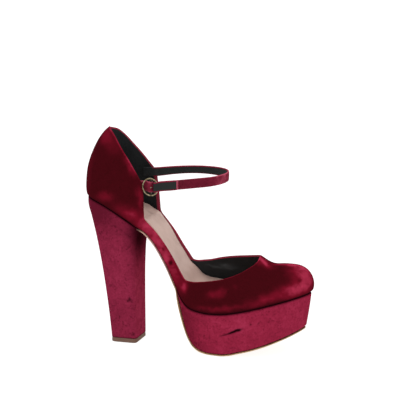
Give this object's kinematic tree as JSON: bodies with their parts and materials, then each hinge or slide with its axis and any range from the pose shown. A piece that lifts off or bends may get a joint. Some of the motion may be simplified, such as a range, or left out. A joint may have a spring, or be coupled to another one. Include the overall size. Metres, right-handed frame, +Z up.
{
  "type": "high-heeled shoe",
  "caption": "Right-foot velvet platform pump with closed round toe, open waist sides, closed heel counter, ankle strap on a ring buckle and a tall block heel.",
  "frame": {"origin": "on the floor under the middle of the shoe's plan box", "axes": "+X toward the toe, +Y toward the inner side of the foot, +Z up"},
  "size_m": [0.2166, 0.0846, 0.202],
  "materials": {
    "velvet_upper": "crushed velvet, dark crimson, bright at grazing angles",
    "velvet_cover": "velvet stretched over a block, mottled crimson",
    "velvet_strap": "velvet band with a black backing",
    "sock_leather": "smooth pale pink-beige lining leather",
    "sole_sheet": "smooth tan sole sheet",
    "lift_rubber": "matt brown top lift",
    "ring_metal": "antique brass, worn bright on the wire's front"
  },
  "bodies": {
    "root": {"upper": "velvet_upper", "insole": "sock_leather", "platform": "velvet_cover", "outsole": "sole_sheet", "heel": "velvet_cover", "heel_lift": "lift_rubber", "ankle_strap": "velvet_strap", "buckle": "ring_metal", "buckle_tab": "velvet_strap"}
  },
  "joints": []
}
